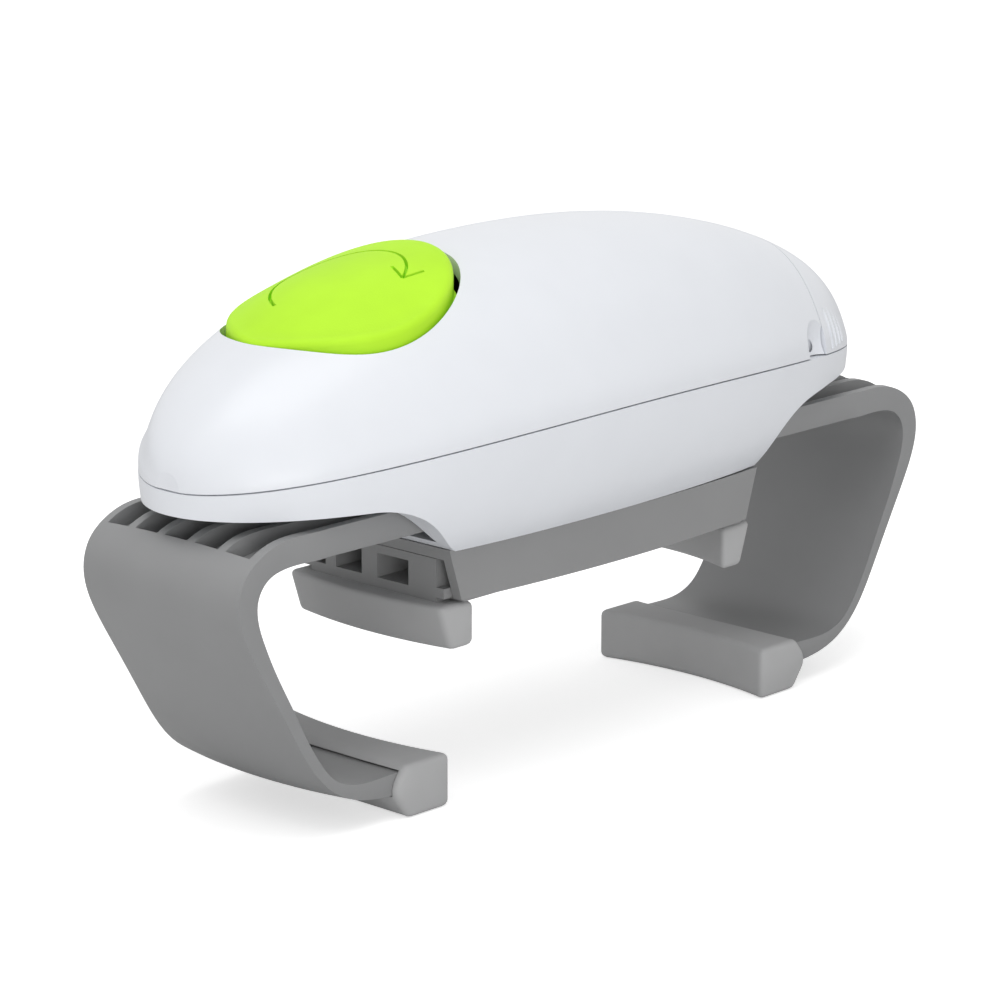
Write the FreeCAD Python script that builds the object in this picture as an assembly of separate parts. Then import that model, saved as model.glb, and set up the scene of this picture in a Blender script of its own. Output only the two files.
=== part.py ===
import FreeCAD, Part
import math
import os

"""Electric jar opener: an egg-shaped drive housing on two C-shaped jar arms, with a turntable and
two lid jaws under it.

Millimetres. X is the long axis, with the button end at -X and the battery end at +X. Z is up. The
jar pads stand on z = 0 and the turntable turns about the Z axis.
"""

V = FreeCAD.Vector
Y_AXIS, Z_AXIS = V(0, 1, 0), V(0, 0, 1)
FAR = 120.0

# ---- housing: the egg ----
BODY_CENTRE_X = -3.4
BODY_HALF_LENGTH = 95.3
BODY_HALF_WIDTH = 36.8
BODY_PLAN_POWER = 0.935
BODY_PLAN_TAPER = 0.048
SEAM_END_Z = 69.1
SEAM_RISE = 6.8
SEAM_TILT = 0.5
DOME_HEIGHT = 30.0
DOME_PEAK_X = -0.3
DOME_POWER_FRONT = 2.4
DOME_POWER_REAR = 2.2
DOME_SIDE_POWER = 0.743
DOME_TOP_POWER = 1.4
KEEL_DEPTH = 34.0
KEEL_END_POWER = 0.25
BELLY_Z = 51.2
SHELL_WALL = 2.2
CAVITY_DROP = 0.7
TIP_TRIM = 0.1
PARTING_GAP = 0.3
SLIP = 0.15
FRONT_ARCH = ((-46.4, 51.2), (-49.8, 53.2), (-54.5, 57.0), (-59.2, 60.4), (-64.5, 62.8), (-72, 63.9))
REAR_ARCH = ((46.0, 51.2), (45.8, 55.0), (46.8, 59.0), (50.0, 62.6), (56.5, 65.0), (66, 65.9))
LIP_FILLET = 1.0

# ---- jar arms ----
ARM_HALF_WIDTH = 21.6
ARM_BOW_CENTRE_X = -16.0
PLATE_BOTTOM_Z = 55.9
PLATE_TOP_Z = 61.3
PLATE_INNER_X = 36.0
TONGUE_TIP_X = 51.5
TONGUE_BOTTOM_Z = 5.2
TONGUE_TOP_Z = 9.4
# the two faces of the arm at its side, from the flat plate round the bend to the flat tongue
ARM_OUTER = (
    (78.0, PLATE_TOP_Z), (84.0, PLATE_TOP_Z), (90.2, 60.9), (95.4, 59.0), (99.4, 55.6),
    (101.0, 50.6), (99.9, 44.8), (97.3, 39.4), (93.0, 32.0), (88.6, 24.4), (84.9, 18.1),
    (80.6, 12.4), (74.6, 7.9), (66.5, 5.6), (58.0, TONGUE_BOTTOM_Z))
ARM_INNER = (
    (78.0, PLATE_BOTTOM_Z), (84.0, PLATE_BOTTOM_Z), (89.6, 55.7), (93.6, 54.4), (96.0, 51.4),
    (96.3, 47.6), (94.8, 42.6), (91.8, 35.9), (87.8, 28.4), (83.8, 20.8), (80.6, 15.8),
    (77.0, 11.9), (72.0, 9.8), (66.0, TONGUE_TOP_Z), (58.0, TONGUE_TOP_Z))
RIB_COUNT = 6
RIB_PITCH = 8.24
RIB_WIDTH = 2.0
ARM_SLOT_GAP = 0.7
ARM_RUN_GAP = 0.2
ARM_TRAVEL_IN = 27.0
ARM_TRAVEL_OUT = 4.0
GUIDE_Y = (17.5, 19.5)
GUIDE_HALF_LENGTH = 42.0
RACK_OUTER_X = 40.5
RACK_BACK = 4.2
RACK_FOOT_Y = 16.4
RACK_FOOT_TOP_Z = 64.0

# ---- jar pads ----
JAR_PAD_HALF_WIDTH = 23.2
JAR_PAD_FACE_RADIUS = 68.0
JAR_PAD_FACE_X = 49.9
JAR_PAD_PROFILE = ((40.0, 0.0), (58.6, 0.0), (62.2, 5.0), (61.8, 7.6), (59.3, 10.9), (40.0, 10.9))
JAR_PAD_ROUND = 1.2

# ---- turntable and lid jaws ----
TABLE_TOP_Z = 50.9
TABLE_BOTTOM_Z = 40.3
TABLE_END_TOP_X = 46.2
TABLE_END_BOTTOM_X = 42.8
TABLE_END_HALF_WIDTH = 21.9
TABLE_MID_HALF_WIDTH = 24.4
TABLE_ROOF = 2.5
CHANNEL_HALF_WIDTH = 19.6
HUB_RADIUS = 10.4
RUN_FIT = 0.05
JAW_HALF_WIDTH = 17.3
JAW_OUTER_X = 45.2
JAW_LENGTH = 14.0
JAW_BOTTOM_Z = 39.5
JAW_RUN_GAP = 0.2
JAW_TRAVEL_IN = 25.0
JAW_TRAVEL_OUT = 6.0
RUNNER_Z = (40.5, 42.5)
RUNNER_HALF_WIDTH = 19.4
RAIL_THICKNESS = 0.6
RAIL_Y = (17.8, 21.4)
RAIL_HALF_LENGTH = 41.8
POCKET_Z = (41.5, 46.5)
POCKETS_Y = ((-9.8, -1.2), (3.1, 10.4), (13.3, 15.9))
POCKET_BLIND_DEPTH = 9.0
LID_PAD_Z = (29.5, 39.5)
LID_PAD_HALF_WIDTH = 20.2
LID_PAD_FACE_RADIUS = 40.9
LID_PAD_OUTER_X = 45.2
LID_PAD_CORNER = 3.4
CARRIER_X = (42.3, 43.9)
CARRIER_HALF_WIDTH = 14.0
CARRIER_TIP_Z = 31.5

# ---- gearing ----
PRESSURE_ANGLE = math.radians(20)
BACKLASH = 0.16
ARM_MODULE, ARM_TEETH = 1.0, 18
JAW_MODULE, JAW_TEETH = 0.75, 12
TABLE_MODULE, TABLE_TEETH, TABLE_DRIVER_TEETH = 1.0, 24, 12
SECOND_MODULE, SECOND_TEETH, SECOND_DRIVER_TEETH = 0.7, 38, 10
FIRST_MODULE, FIRST_TEETH, MOTOR_TEETH = 0.6, 40, 8
SECOND_AXLE_ANGLE = math.radians(150)
FIRST_AXLE_ANGLE = math.radians(225)
ARM_GEAR_Z = (61.8, 65.6)
JAW_GEAR_Z = (43.4, 46.2)
TABLE_GEAR_Z = (69.8, 74.0)
SECOND_GEAR_Z = (76.0, 79.0)
FIRST_GEAR_Z = (91.6, 93.6)
SPINDLE_RADIUS = 6.0
SHAFT_RADIUS = 3.0
AXLE_RADIUS = 1.25

# ---- deck, motor, electrics ----
DECK_Z = (66.8, 68.8)
BRIDGE_Z = (81.0, 82.8)
MOTOR_RADIUS = 10.0
MOTOR_HALF_THICKNESS = 7.5
MOTOR_HEIGHT = 22.0
MOTOR_SHAFT_RADIUS = 1.0
CELL_RADIUS = 7.15
CELL_LENGTH = 50.2
CELL_AXIS_Z = 77.4
CELL_PITCH = 15.4
TRAY_WALL = 1.2
SCREW_RADIUS = 1.3
SCREW_HEAD_RADIUS = 2.4
BOSS_RADIUS = 3.4

# ---- button ----
BUTTON_CENTRE_X = -54.0
BUTTON_FRONT = 22.8
BUTTON_BACK = 24.5
BUTTON_HALF_WIDTH = 21.6
BUTTON_PROUD = 2.3
BUTTON_THICKNESS = 2.4
BUTTON_GAP = 0.45
BUTTON_EDGE = 1.5
BUTTON_LIP = 1.6
BUTTON_TRAVEL = 1.6
POST_X = -62.0
POST_RADIUS = 2.6
SWITCH_TOP_Z = 88.0

# ---- battery cover ----
COVER_SEAM_X = 62.3
COVER_GAP = 0.25


def box(x, y, z):
    """A block from its (low, high) pairs."""
    return Part.makeBox(x[1] - x[0], y[1] - y[0], z[1] - z[0], V(x[0], y[0], z[0]))


def mirrored_box(x, half_width, z):
    return box(x, (-half_width, half_width), z)


def rod(radius, z, x=0.0, y=0.0):
    return Part.makeCylinder(radius, z[1] - z[0], V(x, y, z[0]))


def turned(shape):
    """The same shape turned half a turn about the Z axis."""
    copy = shape.copy()
    copy.rotate(V(0, 0, 0), Z_AXIS, 180)
    return copy


def moved(shape, x=0.0, y=0.0, z=0.0):
    copy = shape.copy()
    copy.translate(V(x, y, z))
    return copy


def smooth(points, start=None, end=None):
    curve = Part.BSplineCurve()
    options = {}
    if start is not None:
        options = {"InitialTangent": start, "FinalTangent": end}
    curve.interpolate(Points=[V(*p) for p in points], **options)
    return curve.toShape()


def prism(edges, height):
    return Part.Face(Part.Wire(edges)).extrude(height)


# ---- the egg ----

def plan_share(share):
    """Half width of the egg as a share of its widest, at a share of its half length."""
    power = 2 / BODY_PLAN_POWER
    return (1 - abs(share) ** power) ** (BODY_PLAN_POWER / 2) * (1 - BODY_PLAN_TAPER * share)


def seam_z(share):
    return SEAM_END_Z + SEAM_RISE * (1 - share**2) + SEAM_TILT * share


def dome_share(share):
    peak = (DOME_PEAK_X - BODY_CENTRE_X) / BODY_HALF_LENGTH
    if share < peak:
        run, power = (peak - share) / (peak + 1), DOME_POWER_FRONT
    else:
        run, power = (share - peak) / (1 - peak), DOME_POWER_REAR
    return max(1 - run**power, 0) ** (1 / power)


DOME_STEPS = 8
STATIONS = 12


def dome_section(share, inset):
    """Closed section of the upper half, as points over the top from -Y to +Y."""
    x = BODY_CENTRE_X + (BODY_HALF_LENGTH - inset) * share
    half = (BODY_HALF_WIDTH - inset) * plan_share(share)
    height = (DOME_HEIGHT - inset) * dome_share(share)
    base = seam_z(share)
    points = []
    for step in range(DOME_STEPS + 1):
        angle = math.pi * step / DOME_STEPS
        side = -math.copysign(abs(math.cos(angle)) ** DOME_SIDE_POWER, math.cos(angle))
        points.append((x, half * side, base + height * abs(math.sin(angle)) ** DOME_TOP_POWER))
    return points


def dome(inset, drop=0.0):
    """The egg's upper half, lofted from tip to tip, let down by drop."""
    tip = BODY_HALF_LENGTH - inset
    profiles = [Part.Vertex(BODY_CENTRE_X - tip, 0, seam_z(-1))]
    for station in range(1, STATIONS):
        share = -math.cos(math.pi * station / STATIONS)
        points = dome_section(share, inset)
        arc = smooth(points, V(0, 0, 1), V(0, 0, -1))
        chord = Part.makeLine(V(*points[-1]), V(*points[0]))
        profiles.append(Part.Wire([arc, chord]))
    profiles.append(Part.Vertex(BODY_CENTRE_X + tip, 0, seam_z(1)))
    return moved(Part.makeLoft(profiles, True, False), z=PARTING_GAP / 2 - drop)


def dome_skin():
    """The upper half as a shell; a hair is trimmed off both tips, where all its sections meet."""
    tip = BODY_HALF_LENGTH - TIP_TRIM
    span = (BODY_CENTRE_X - tip, BODY_CENTRE_X + tip)
    return dome(0).cut(dome_cavity()).common(mirrored_box(span, FAR, (0, FAR)))


def dome_cavity(inset=0.0):
    """The hollow under the upper casing, grown smaller by an inset; its floor clears the rim."""
    return dome(SHELL_WALL + inset, CAVITY_DROP)


def keel_outline(z, inset):
    """Plan outline of the egg's lower half at one level; above the seam it goes straight up."""
    def drop(share):
        depth = (KEEL_DEPTH - inset) * max(1 - share**2, 0) ** KEEL_END_POWER
        return max(seam_z(share) - z, 0) / depth if depth else 1.0

    reach = 1.0
    while drop(reach - REACH_STEP) >= 1:
        reach -= REACH_STEP
    points = []
    for step in range(KEEL_STEPS):
        angle = 2 * math.pi * (step + 0.5) / KEEL_STEPS
        share = reach * math.cos(angle)
        half = (BODY_HALF_WIDTH - inset) * plan_share(share) * math.sqrt(1 - min(drop(share), 1) ** 2)
        x = BODY_CENTRE_X + (BODY_HALF_LENGTH - inset) * share
        points.append(V(x, math.copysign(half, math.sin(angle)), z))
    curve = Part.BSplineCurve()
    curve.interpolate(Points=points, PeriodicFlag=True)
    return Part.Wire(curve.toShape())


def keel(inset):
    """The egg's lower half, lofted upwards through level outlines."""
    return Part.makeLoft([keel_outline(z, inset) for z in KEEL_LEVELS], True, False)


def above_seam():
    """Everything over the parting line, less half of its gap."""
    points = []
    for step in range(SEAM_STEPS + 1):
        x = FAR * (2 * step / SEAM_STEPS - 1)
        points.append((x, -FAR, seam_z((x - BODY_CENTRE_X) / BODY_HALF_LENGTH) - PARTING_GAP / 2))
    left, right = V(-FAR, -FAR, FAR), V(FAR, -FAR, FAR)
    sides = [Part.makeLine(V(*points[-1]), right), Part.makeLine(right, left), Part.makeLine(left, V(*points[0]))]
    return prism([smooth(points)] + sides, V(0, 2 * FAR, 0))


KEEL_LEVELS = (50.0, 54.0, 58.5, 63.0, 68.0, 72.5, 77.0)
KEEL_STEPS = 28
REACH_STEP = 0.0002
SEAM_STEPS = 12


def arch_cut(points, raise_by, reach):
    """What lies under a wheel-arch curve, out to the tip of the egg at reach."""
    inward = -math.copysign(raise_by, reach)
    run = [(x + inward, 0, z + raise_by) for x, z in points]
    level = run[-1][2]
    curve = smooth(run)
    corners = [V(*run[-1]), V(reach, 0, level), V(reach, 0, -FAR), V(run[0][0], 0, -FAR), V(*run[0])]
    sides = [Part.makeLine(a, b) for a, b in zip(corners, corners[1:])]
    return moved(prism([curve] + sides, V(0, 2 * FAR, 0)), y=-FAR)


def keel_form(inset):
    """The lower casing's form at an inset: the keel, cut off by the belly and both arches."""
    form = keel(inset).cut(mirrored_box((-FAR, FAR), FAR, (0, BELLY_Z + inset)))
    form = form.cut(arch_cut(FRONT_ARCH, inset, -FAR))
    return form.cut(arch_cut(REAR_ARCH, inset, FAR))


# ---- button outline ----

def egg_outline(grow, z):
    """The button's plan outline, grown by a margin: two half ellipses that meet at its widest."""
    half = BUTTON_HALF_WIDTH + grow
    points = []
    for reach, first in ((BUTTON_BACK + grow, -90), (BUTTON_FRONT + grow, 90)):
        for step in range(OUTLINE_STEPS):
            angle = math.radians(first + 180 * step / OUTLINE_STEPS)
            points.append(V(BUTTON_CENTRE_X + reach * math.cos(angle), half * math.sin(angle), z))
    curve = Part.BSplineCurve()
    curve.interpolate(Points=points, PeriodicFlag=True)
    return Part.Wire(curve.toShape())


OUTLINE_STEPS = 8
BUTTON_SPAN_Z = (60.0, 120.0)


def button_prism(grow):
    low, high = BUTTON_SPAN_Z
    return Part.Face(egg_outline(grow, low)).extrude(V(0, 0, high - low))


# ---- gears ----

def gear_outline(module, teeth, phase, addendum):
    """Involute teeth as a closed polygon about the origin; a tooth is centred on phase."""
    pitch = module * teeth / 2
    base = pitch * math.cos(PRESSURE_ANGLE)
    tip = pitch + addendum * module
    root = pitch - ROOT_DEPTH * module
    half_at_pitch = (math.pi * module - 2 * BACKLASH) / (4 * pitch)
    spread = math.tan(PRESSURE_ANGLE) - PRESSURE_ANGLE

    def half_angle(radius):
        slope = math.acos(min(base / radius, 1))
        return half_at_pitch + spread - (math.tan(slope) - slope)

    start = max(base, root)
    radii = [start + (tip - start) * k / FLANK_STEPS for k in range(FLANK_STEPS + 1)]
    if root < base:
        radii = [root] + radii
    points = []
    for tooth in range(teeth):
        middle = phase + 2 * math.pi * tooth / teeth
        flank = [(r, half_angle(max(r, base))) for r in radii]
        for radius, half in flank:
            points.append((radius, middle - half))
        for radius, half in reversed(flank):
            points.append((radius, middle + half))
    return [V(r * math.cos(a), r * math.sin(a), 0) for r, a in points]


ROOT_DEPTH = 1.2
FLANK_STEPS = 3


def gear(module, teeth, phase, z, addendum, x=0.0, y=0.0):
    points = gear_outline(module, teeth, phase, addendum)
    blank = Part.Face(Part.makePolygon(points + points[:1])).extrude(V(0, 0, z[1] - z[0]))
    return moved(blank, x, y, z[0])


def mesh_phase(first_pitch, first_phase, second_pitch, module, direction):
    """Phase of a gear that meshes with another, which lies behind it along direction."""
    half_tooth = math.pi * module / 2
    shift = (first_pitch * (first_phase - direction) + half_tooth) / second_pitch
    return direction + math.pi - shift


def rack(module, side, pitch_y, first_x, last_x, z, back, addendum):
    """A rack whose teeth point at the X axis. side is +1 or -1 in Y; a tooth is centred on x = 0."""
    pitch = math.pi * module
    half = (pitch - 2 * BACKLASH) / 4
    lean = math.tan(PRESSURE_ANGLE)
    tip_y = pitch_y - addendum * module
    root_y = pitch_y + ROOT_DEPTH * module
    points = [V(first_x, side * root_y, 0)]
    for count in range(math.ceil(first_x / pitch + 0.5), math.floor(last_x / pitch - 0.5) + 1):
        x = count * pitch
        root_half = half + (root_y - pitch_y) * lean
        tip_half = half - (pitch_y - tip_y) * lean
        points.append(V(x - root_half, side * root_y, 0))
        points.append(V(x - tip_half, side * tip_y, 0))
        points.append(V(x + tip_half, side * tip_y, 0))
        points.append(V(x + root_half, side * root_y, 0))
    points.append(V(last_x, side * root_y, 0))
    points.append(V(last_x, side * (root_y + back), 0))
    points.append(V(first_x, side * (root_y + back), 0))
    blank = Part.Face(Part.makePolygon(points + points[:1])).extrude(V(0, 0, z[1] - z[0]))
    return moved(blank, z=z[0])


# places of the gear axles, from the pitch radii
TABLE_PITCH = TABLE_MODULE * TABLE_TEETH / 2
TABLE_DRIVER_PITCH = TABLE_MODULE * TABLE_DRIVER_TEETH / 2
SECOND_PITCH = SECOND_MODULE * SECOND_TEETH / 2
SECOND_DRIVER_PITCH = SECOND_MODULE * SECOND_DRIVER_TEETH / 2
FIRST_PITCH = FIRST_MODULE * FIRST_TEETH / 2
MOTOR_PITCH = FIRST_MODULE * MOTOR_TEETH / 2
ARM_PITCH = ARM_MODULE * ARM_TEETH / 2
JAW_PITCH = JAW_MODULE * JAW_TEETH / 2

SECOND_REACH = TABLE_PITCH + TABLE_DRIVER_PITCH
SECOND_X = SECOND_REACH * math.cos(SECOND_AXLE_ANGLE)
SECOND_Y = SECOND_REACH * math.sin(SECOND_AXLE_ANGLE)
FIRST_REACH = SECOND_PITCH + SECOND_DRIVER_PITCH
FIRST_X = SECOND_X + FIRST_REACH * math.cos(FIRST_AXLE_ANGLE)
FIRST_Y = SECOND_Y + FIRST_REACH * math.sin(FIRST_AXLE_ANGLE)
MOTOR_REACH = FIRST_PITCH + MOTOR_PITCH
MOTOR_X = FIRST_X - math.sqrt(MOTOR_REACH**2 - FIRST_Y**2)
MOTOR_ANGLE = math.atan2(-FIRST_Y, MOTOR_X - FIRST_X)


# ---- casing ----

# each screw: x, y, underside of its head, and the level where its two bosses meet
CASE_SCREWS = ((-88.5, 0.0, 65.4, 68.8), (54.0, 22.0, 67.0, 71.0), (54.0, -22.0, 67.0, 71.0))
DECK_SCREWS = ((-20.0, 27.0), (-20.0, -27.0), (15.0, 27.0), (15.0, -27.0))
DECK_BOSS_RADIUS = 2.8
SCREW_LENGTH = 12.0
HEAD_HEIGHT = 1.8


def upper_shell():
    shell = dome_skin()
    shell = shell.cut(button_prism(BUTTON_GAP))
    shell = shell.cut(mirrored_box((COVER_SEAM_X, FAR), FAR, (0, FAR)))
    for side in (-1, 1):
        shell = shell.cut(thumb_scoop(side))
    inside = dome(SHELL_WALL / 2)
    for x, y, _, joint_z in CASE_SCREWS:
        seam = seam_z((x - BODY_CENTRE_X) / BODY_HALF_LENGTH)
        boss = rod(BOSS_RADIUS, (joint_z, FAR), x, y).common(inside)
        foot = rod(BOSS_RADIUS, (joint_z, seam + 1), x, y)
        shell = shell.fuse([boss, foot]).cut(rod(SCREW_RADIUS, (0, joint_z + SCREW_LENGTH), x, y))
    return shell.removeSplitter()


SCOOP_X = 60.5
SCOOP_Y = 33.5
SCOOP_Z = 77.5
SCOOP_RADIUS = 8.5


def thumb_scoop(side):
    """The shallow hollow at the cover's edge where a thumb gets hold of it."""
    return Part.makeSphere(SCOOP_RADIUS, V(SCOOP_X, side * SCOOP_Y, SCOOP_Z))


def lower_shell():
    shell = keel_form(0).cut(above_seam()).cut(keel_form(SHELL_WALL))
    slot_half = ARM_HALF_WIDTH + ARM_SLOT_GAP
    slot_z = (BELLY_Z + SHELL_WALL, PLATE_TOP_Z + ARM_SLOT_GAP)
    shell = shell.cut(mirrored_box((-FAR, FAR), slot_half, slot_z))
    shell = shell.cut(rod(HUB_RADIUS + RUN_FIT, (0, PLATE_BOTTOM_Z)))
    outside = keel_form(SHELL_WALL / 4)
    additions = []
    holes = []
    for side in (-1, 1):
        guide_y = sorted(side * y for y in GUIDE_Y)
        guide_x = (-GUIDE_HALF_LENGTH, GUIDE_HALF_LENGTH)
        additions.append(box(guide_x, guide_y, (BELLY_Z + SHELL_WALL / 2, PLATE_BOTTOM_Z - ARM_RUN_GAP)))
    for x, y in DECK_SCREWS:
        additions.append(rod(DECK_BOSS_RADIUS, (BELLY_Z, DECK_Z[0]), x, y).common(outside))
        holes.append(rod(SCREW_RADIUS, (DECK_Z[0] - 8, FAR), x, y))
    for x, y, head_z, joint_z in CASE_SCREWS:
        additions.append(rod(BOSS_RADIUS, (BELLY_Z, joint_z), x, y).common(outside))
        holes.append(rod(SCREW_RADIUS + SLIP, (0, FAR), x, y))
        holes.append(rod(SCREW_HEAD_RADIUS + SLIP, (0, head_z + HEAD_HEIGHT), x, y))
    return shell.fuse(additions).cut(holes).removeSplitter()


def case_screws():
    screws = []
    for x, y, head_z, joint_z in CASE_SCREWS:
        head = rod(SCREW_HEAD_RADIUS, (head_z, head_z + HEAD_HEIGHT), x, y)
        shank = rod(SCREW_RADIUS, (head_z + HEAD_HEIGHT, joint_z + SCREW_LENGTH - 1), x, y)
        screws.append(head.fuse(shank))
    return Part.makeCompound(screws)


# ---- battery cover ----

def battery_cover():
    cover = dome_skin()
    cover = cover.common(mirrored_box((COVER_SEAM_X + COVER_GAP, FAR), FAR, (0, FAR)))
    bulkhead_x = BAY_X[1] + CONTACT_THICKNESS
    bulkhead = mirrored_box((bulkhead_x, bulkhead_x + TRAY_WALL), FAR, (0, FAR))
    cover = cover.fuse(bulkhead.common(dome(SHELL_WALL / 2)))
    for side in (-1, 1):
        for count in range(GRIP_RIBS):
            x = GRIP_FIRST_X + count * GRIP_PITCH
            cover = cover.cut(grip_groove(x, side))
    return cover.removeSplitter()


GRIP_RIBS = 4
GRIP_FIRST_X = 66.5
GRIP_PITCH = 2.6
GRIP_RADIUS = 0.8
GRIP_Z = (73.5, 82.0)


def grip_groove(x, side):
    """One upright groove of the cover's finger grip, just breaking the skin."""
    share = (x - BODY_CENTRE_X) / BODY_HALF_LENGTH
    half = BODY_HALF_WIDTH * plan_share(share)
    low = V(x, side * (half + 0.1), GRIP_Z[0])
    lean = V(0, -side * half * GRIP_LEAN, GRIP_Z[1] - GRIP_Z[0])
    return Part.makeCylinder(GRIP_RADIUS, lean.Length, low, lean)


GRIP_LEAN = 0.10


# ---- button ----

def button():
    """Cap with a hollow underside, a skirt with a retaining lip, and the post over the switch."""
    foot = dome_cavity(LIP_GAP + BUTTON_LIP_HEIGHT)
    under = dome(BUTTON_THICKNESS - BUTTON_PROUD)
    cap = button_prism(0).common(dome(-BUTTON_PROUD)).cut(foot)
    cap = cap.cut(button_prism(-SKIRT_WALL).common(under))
    lip = button_prism(BUTTON_LIP).cut(button_prism(-SKIRT_WALL))
    lip = lip.common(dome_cavity(LIP_GAP)).cut(foot)
    into_cap = dome(BUTTON_THICKNESS / 2 - BUTTON_PROUD)
    post = rod(POST_RADIUS, (PLUNGER_TOP_Z + POST_GAP, FAR), POST_X).common(into_cap)
    seat = rod(SPRING_SEAT_RADIUS, (SPRING_TOP_Z, FAR), POST_X).common(into_cap)
    return cap.fuse([lip, post, seat]).removeSplitter()


LIP_GAP = 0.2
BUTTON_LIP_HEIGHT = 1.2
SKIRT_WALL = 1.8
PLUNGER_HEIGHT = BUTTON_TRAVEL + 0.3
PLUNGER_TOP_Z = SWITCH_TOP_Z + PLUNGER_HEIGHT
PLUNGER_RADIUS = 1.5
POST_GAP = 0.05
SPRING_TOP_Z = 93.0
SPRING_SEAT_RADIUS = 6.2
SPRING_RADIUS = 5.2
SPRING_WIRE = 0.35
COIL_SEAT = 0.9


def coil(radius, wire, turns, length):
    """A helical spring standing on z = 0, with its wire's centre line from end to end."""
    helix = Part.makeHelix((length - 2 * wire) / turns, length - 2 * wire, radius)
    section = Part.Wire(Part.makeCircle(wire, V(radius, 0, 0), Y_AXIS))
    return moved(helix.makePipeShell([section], True, True), z=wire * COIL_SEAT)


def button_spring():
    base = BRIDGE_Z[1] + BOARD_THICKNESS
    return moved(coil(SPRING_RADIUS, SPRING_WIRE, 4, SPRING_TOP_Z - base), x=POST_X, z=base)


# ---- electrics ----

BOARD_THICKNESS = 1.6
BOARD_X = (-75.0, -54.5)
BOARD_HALF_WIDTH = 11.0
SWITCH_HALF = 3.0


def circuit_board():
    board = mirrored_box(BOARD_X, BOARD_HALF_WIDTH, (BRIDGE_Z[1], BRIDGE_Z[1] + BOARD_THICKNESS))
    for x in (BOARD_X[0] + 3, BOARD_X[1] - 3):
        for y in (-BOARD_HALF_WIDTH + 3, BOARD_HALF_WIDTH - 3):
            board = board.cut(rod(1.2, (0, FAR), x, y))
    return board


def push_switch():
    body_x = (POST_X - SWITCH_HALF, POST_X + SWITCH_HALF)
    body = mirrored_box(body_x, SWITCH_HALF, (BRIDGE_Z[1] + BOARD_THICKNESS, SWITCH_TOP_Z))
    bore_z = (SWITCH_TOP_Z - BUTTON_TRAVEL - PLUNGER_SKIRT - 0.2, FAR)
    return body.cut(rod(PLUNGER_RADIUS + RUN_FIT, bore_z, POST_X))


PLUNGER_SKIRT = 1.2


def switch_plunger():
    return rod(PLUNGER_RADIUS, (SWITCH_TOP_Z - PLUNGER_SKIRT, PLUNGER_TOP_Z), POST_X)


NUB_LENGTH = 1.0
NUB_RADIUS = 2.75
CELL_EDGE = 0.6
CONTACT_THICKNESS = 0.4
CONTACT_TRAVEL = 2.5
BAY_X = (22.0, 22.0 + CELL_LENGTH + CONTACT_TRAVEL)
CONTACT_RADIUS = 5.0


def along_x(shape):
    """A shape made along +Z, laid along +X."""
    copy = shape.copy()
    copy.rotate(V(0, 0, 0), Y_AXIS, 90)
    return copy


def battery_cells():
    """Two round cells side by side, head to tail."""
    can = rod(CELL_RADIUS, (NUB_LENGTH, CELL_LENGTH))
    can = can.makeFillet(CELL_EDGE, [e for e in can.Edges if len(e.Vertexes) == 1])
    cell = along_x(can.fuse(rod(NUB_RADIUS, (0, NUB_LENGTH))))
    nub_first = moved(cell, BAY_X[0], -CELL_PITCH / 2, CELL_AXIS_Z)
    nub_last = moved(turned(cell), BAY_X[1], CELL_PITCH / 2, CELL_AXIS_Z)
    return Part.makeCompound([nub_first, nub_last])


def cell_contact(side_with_spring, inward):
    """Two contact discs, one with its spring, standing at x = 0 and springing along inward."""
    discs = []
    for side in (-1, 1):
        disc = along_x(rod(CONTACT_RADIUS, (0, CONTACT_THICKNESS)))
        disc = moved(disc, -CONTACT_THICKNESS if inward > 0 else 0, side * CELL_PITCH / 2, CELL_AXIS_Z)
        if side == side_with_spring:
            spring = along_x(coil(CONTACT_RADIUS - 1.2, SPRING_WIRE, 2, CONTACT_TRAVEL))
            spring = spring if inward > 0 else turned(spring)
            disc = disc.fuse(moved(spring, 0, side * CELL_PITCH / 2, CELL_AXIS_Z))
        discs.append(disc)
    return discs


def cell_contacts():
    return moved(Part.makeCompound(cell_contact(1, 1)), x=BAY_X[0])


def cover_contact():
    discs = cell_contact(-1, -1)
    strap = mirrored_box((0, CONTACT_THICKNESS), CELL_PITCH / 2, (CELL_AXIS_Z - 2, CELL_AXIS_Z + 2))
    return moved(discs[0].fuse([discs[1], strap]), x=BAY_X[1])


TRAY_FLOOR_Z = DECK_Z[1]
TRAY_FOOT_Z = REAR_ARCH[-1][1] + SHELL_WALL
TRAY_FOOT_X = (66.0, 73.0)
TRAY_FOOT_HALF = 10.0
TRAY_TOP_Z = CELL_AXIS_Z + 1.0
TRAY_HALF_WIDTH = CELL_PITCH / 2 + CELL_RADIUS + TRAY_WALL
CELL_SLIP = 0.1


def battery_tray():
    front = BAY_X[0] - CONTACT_THICKNESS - TRAY_WALL
    tray = mirrored_box((front, BAY_X[1]), TRAY_HALF_WIDTH, (TRAY_FLOOR_Z, TRAY_TOP_Z))
    tray = tray.fuse(mirrored_box(TRAY_FOOT_X, TRAY_FOOT_HALF, (TRAY_FOOT_Z, TRAY_FLOOR_Z)))
    bays = []
    for side in (-1, 1):
        bay = along_x(rod(CELL_RADIUS + CELL_SLIP, (BAY_X[0], FAR)))
        bays.append(moved(bay, y=side * CELL_PITCH / 2, z=CELL_AXIS_Z))
        bays.append(box((BAY_X[0] - CONTACT_THICKNESS, BAY_X[0]),
                        (side * CELL_PITCH / 2 - CONTACT_RADIUS, side * CELL_PITCH / 2 + CONTACT_RADIUS),
                        (CELL_AXIS_Z - CONTACT_RADIUS, FAR)))
    return tray.cut(Part.makeCompound(bays))


# ---- deck, bridge, motor ----

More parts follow.
